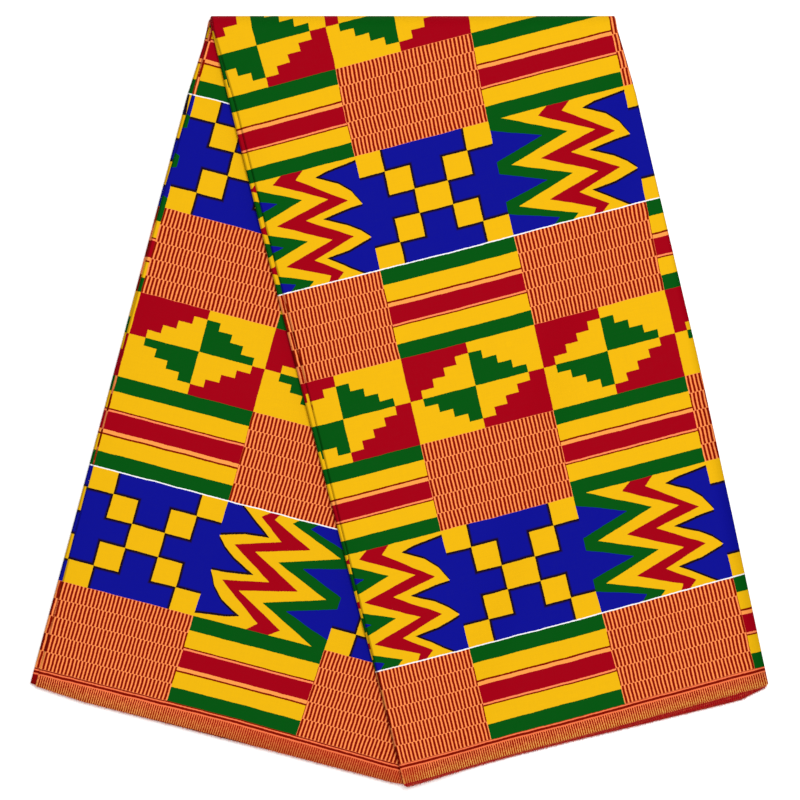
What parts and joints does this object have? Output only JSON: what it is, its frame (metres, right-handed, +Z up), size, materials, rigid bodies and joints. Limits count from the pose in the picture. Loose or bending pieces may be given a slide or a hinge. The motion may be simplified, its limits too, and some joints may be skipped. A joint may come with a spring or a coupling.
{
  "type": "folded printed cotton cloth",
  "caption": "A cut length of wax-printed cotton in bold strip-cloth blocks, pleated into a flat strip and folded over once on the slant into an open wedge.",
  "frame": {"origin": "middle of the footprint's box, on the surface that the cloth lies on", "axes": "+Z up off the surface, +Y towards the top fold, +X to the right of the picture"},
  "size_m": [0.5786, 0.5999, 0.0213],
  "materials": {
    "printed_cotton": "printed plain weave with a soft sheen"
  },
  "bodies": {
    "root": {"cloth": "printed_cotton"}
  },
  "joints": []
}
